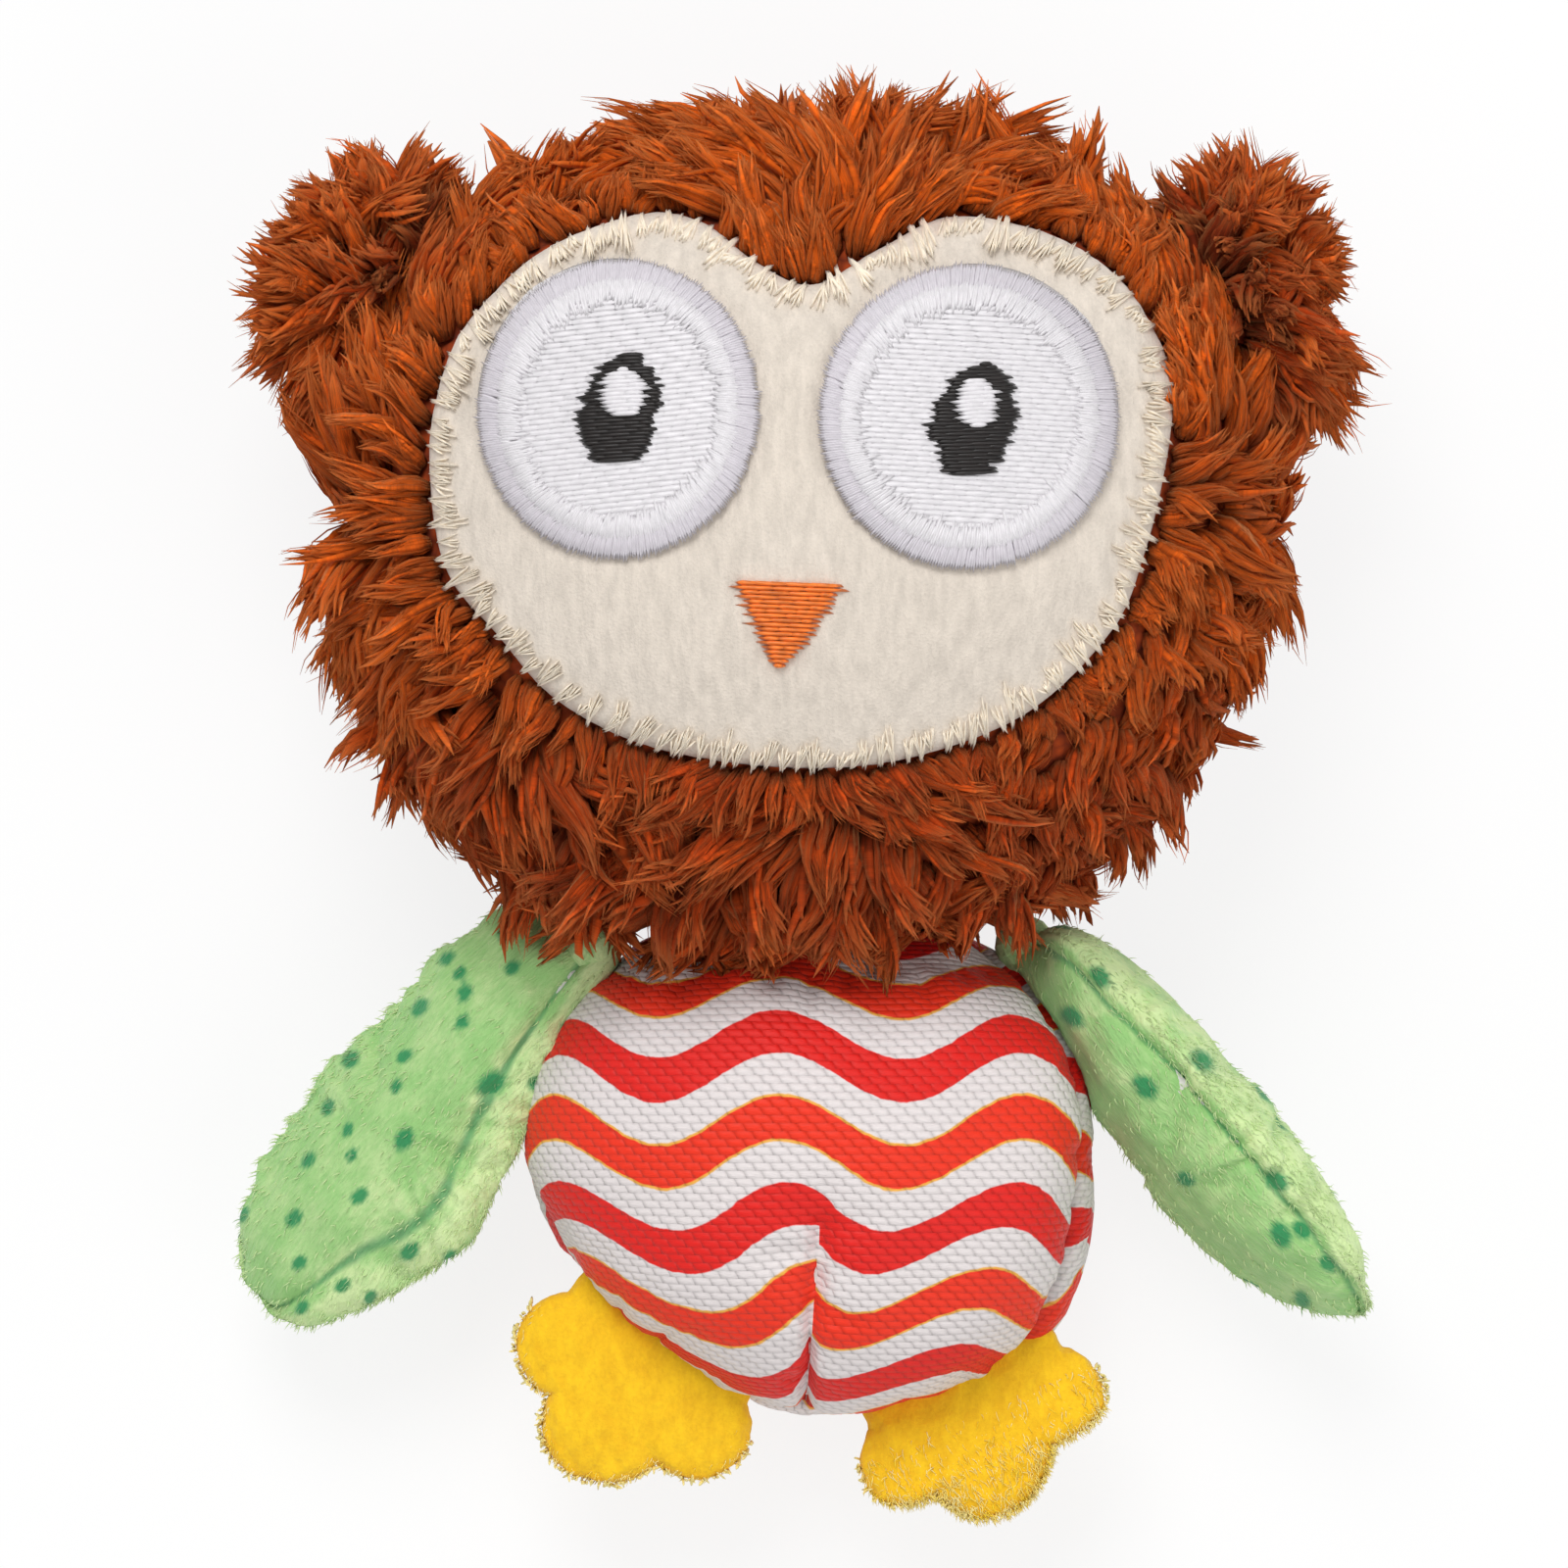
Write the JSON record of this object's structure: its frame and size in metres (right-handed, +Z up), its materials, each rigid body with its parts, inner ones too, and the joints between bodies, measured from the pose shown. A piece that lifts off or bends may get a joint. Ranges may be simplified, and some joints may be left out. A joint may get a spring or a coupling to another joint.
{
  "type": "owl cat toy",
  "caption": "Small stuffed owl for a cat, lying on its back: long-pile head with a stitched face, striped woven body, floppy wings and flat lobed feet.",
  "frame": {"origin": "on the table, under the middle of the toy's box as it lies on its back", "axes": "+Z up out of the face, +Y towards the crown, +X to a viewer's right; left and right are the viewer's"},
  "size_m": [0.0856, 0.1096, 0.0459],
  "materials": {
    "brown_fur": "long matted pile",
    "cream_velour": "short brushed pile",
    "ivory_thread": "satin overlock thread",
    "white_thread": "satin embroidery thread",
    "grey_thread": "satin embroidery thread",
    "black_thread": "satin embroidery thread",
    "orange_thread": "satin embroidery thread",
    "striped_weave": "printed basket weave",
    "red_thread": "sewing thread and turned edges",
    "green_velour": "printed short pile",
    "green_thread": "sewing thread and turned edges",
    "yellow_velour": "brushed short pile",
    "yellow_thread": "overlocked edge",
    "fibre_fill": "loose hollow fibre",
    "pouch_cloth": "thin plain cloth",
    "dried_leaf": "dried crumbled leaf"
  },
  "bodies": {
    "torso": {"body_front_panel": "striped_weave", "body_back_panel": "striped_weave", "body_seam": "red_thread", "dart_seam": "red_thread", "body_stuffing_front": "fibre_fill", "body_stuffing_back": "fibre_fill", "catnip_pouch": "pouch_cloth", "dried_catnip": "dried_leaf"},
    "neck": {"neck_gather": "brown_fur"},
    "head": {"head_front_panel": "brown_fur", "head_back_panel": "brown_fur", "head_seam": "brown_fur", "head_stuffing": "fibre_fill", "face_patch": "cream_velour", "face_stitching": "ivory_thread", "beak": "orange_thread", "left_eye_rim": "grey_thread", "left_eye_fill": "white_thread", "left_pupil": "black_thread", "left_eye_glint": "white_thread", "right_eye_rim": "grey_thread", "right_eye_fill": "white_thread", "right_pupil": "black_thread", "right_eye_glint": "white_thread"},
    "left_ear": {"left_ear_front": "brown_fur", "left_ear_back": "brown_fur"},
    "right_ear": {"right_ear_front": "brown_fur", "right_ear_back": "brown_fur"},
    "left_shoulder": {"left_wing_root": "green_velour"},
    "left_wing": {"left_wing_front": "green_velour", "left_wing_back": "green_velour", "left_wing_seam": "green_thread", "left_wing_stuffing": "fibre_fill"},
    "right_shoulder": {"right_wing_root": "green_velour"},
    "right_wing": {"right_wing_front": "green_velour", "right_wing_back": "green_velour", "right_wing_seam": "green_thread", "right_wing_stuffing": "fibre_fill"},
    "left_foot": {"left_foot_top": "yellow_velour", "left_foot_sole": "yellow_velour", "left_foot_edge": "yellow_thread"},
    "right_foot": {"right_foot_top": "yellow_velour", "right_foot_sole": "yellow_velour", "right_foot_edge": "yellow_thread"}
  },
  "joints": [
    {"name": "neck_turn", "type": "hinge", "parent": "torso", "child": "neck", "pos_m": [-0.00043, -0.0056, 0.015], "axis": [0, 0, 1], "range_deg": [-8, 8], "stiffness_Nm_per_rad": 0.03},
    {"name": "neck_nod", "type": "hinge", "parent": "neck", "child": "head", "pos_m": [-0.00043, -0.0056, 0.015], "axis": [1, 0, 0], "range_deg": [-12, 12], "stiffness_Nm_per_rad": 0.03},
    {"name": "left_ear_fold", "type": "hinge", "parent": "head", "child": "left_ear", "pos_m": [-0.0294, 0.04012, 0.022], "axis": [-0.4067, -0.9135, 0], "range_deg": [-35, 35], "stiffness_Nm_per_rad": 0.0005},
    {"name": "right_ear_fold", "type": "hinge", "parent": "head", "child": "right_ear", "pos_m": [0.02923, 0.03917, 0.022], "axis": [-0.342, 0.9397, 0], "range_deg": [-35, 35], "stiffness_Nm_per_rad": 0.0005},
    {"name": "left_wing_sweep", "type": "hinge", "parent": "torso", "child": "left_shoulder", "pos_m": [-0.01638, -0.00881, 0.017], "axis": [0, 0, -1], "range_deg": [0, 30], "stiffness_Nm_per_rad": 0.003},
    {"name": "left_wing_lift", "type": "hinge", "parent": "left_shoulder", "child": "left_wing", "pos_m": [-0.01638, -0.00881, 0.017], "axis": [-0.766, 0.6428, 0], "range_deg": [-8, 45], "stiffness_Nm_per_rad": 0.003},
    {"name": "right_wing_sweep", "type": "hinge", "parent": "torso", "child": "right_shoulder", "pos_m": [0.01632, -0.00881, 0.014], "axis": [0, 0, 1], "range_deg": [0, 30], "stiffness_Nm_per_rad": 0.003},
    {"name": "right_wing_lift", "type": "hinge", "parent": "right_shoulder", "child": "right_wing", "pos_m": [0.01632, -0.00881, 0.014], "axis": [-0.7547, -0.6561, 0], "range_deg": [-8, 45], "stiffness_Nm_per_rad": 0.003},
    {"name": "left_foot_fold", "type": "hinge", "parent": "torso", "child": "left_foot", "pos_m": [-0.01204, -0.03891, 0.0135], "axis": [-0.848, 0.5299, 0], "range_deg": [-45, 45], "stiffness_Nm_per_rad": 0.0003},
    {"name": "right_foot_fold", "type": "hinge", "parent": "torso", "child": "right_foot", "pos_m": [0.01118, -0.04255, 0.0135], "axis": [-0.9205, -0.3907, 0], "range_deg": [-45, 45], "stiffness_Nm_per_rad": 0.0003}
  ]
}
